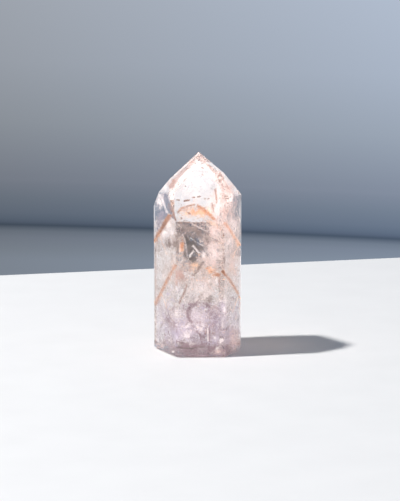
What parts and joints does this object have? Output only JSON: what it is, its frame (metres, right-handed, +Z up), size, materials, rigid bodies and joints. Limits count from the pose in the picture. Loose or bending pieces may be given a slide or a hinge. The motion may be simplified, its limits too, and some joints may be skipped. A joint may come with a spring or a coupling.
{
  "type": "amethyst tower",
  "caption": "Polished clear quartz tower with phantom layers and pale amethyst wisps: a six-sided prism on a flat foot, ground to a faceted point.",
  "frame": {"origin": "centre of the foot, on the surface the tower stands on, under the middle of the tower's box", "axes": "+Z up along the prism, -Y towards the front, where the large front facet of the point faces"},
  "size_m": [0.0394, 0.0352, 0.0899],
  "materials": {
    "amethyst": "polished"
  },
  "bodies": {
    "root": {"tower": "amethyst"}
  },
  "joints": []
}
